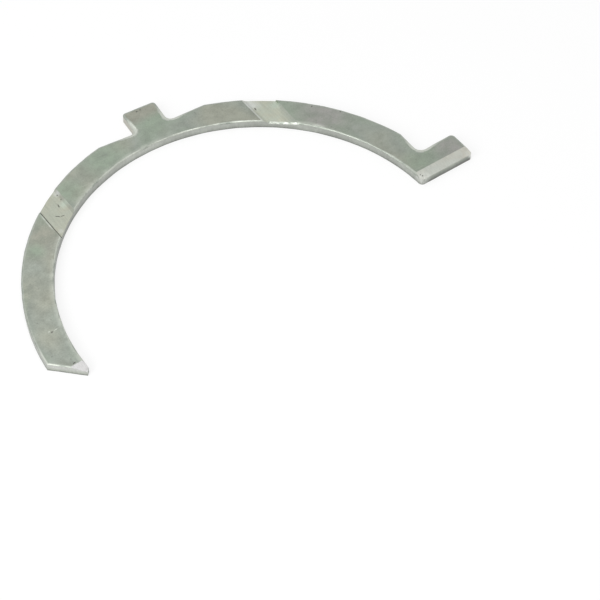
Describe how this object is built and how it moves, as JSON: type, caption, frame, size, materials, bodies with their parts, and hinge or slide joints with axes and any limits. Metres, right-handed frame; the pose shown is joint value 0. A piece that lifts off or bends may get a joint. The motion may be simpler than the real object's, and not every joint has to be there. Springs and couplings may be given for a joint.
{
  "type": "half thrust washer",
  "caption": "Flat half-ring thrust washer with a crown lug, an end lug, a mitred end and oil grooves across its thrust face; it takes a crankshaft's end thrust.",
  "frame": {"origin": "shaft axis at the washer's back face", "axes": "+Z along the shaft axis, out of the thrust face; X along the parting diameter, towards the square end; +Y towards the crown"},
  "size_m": [0.1072, 0.0566, 0.002],
  "materials": {
    "bearing_metal": "satin grey, lightly mottled"
  },
  "bodies": {
    "root": {"thrust_washer": "bearing_metal"}
  },
  "joints": []
}
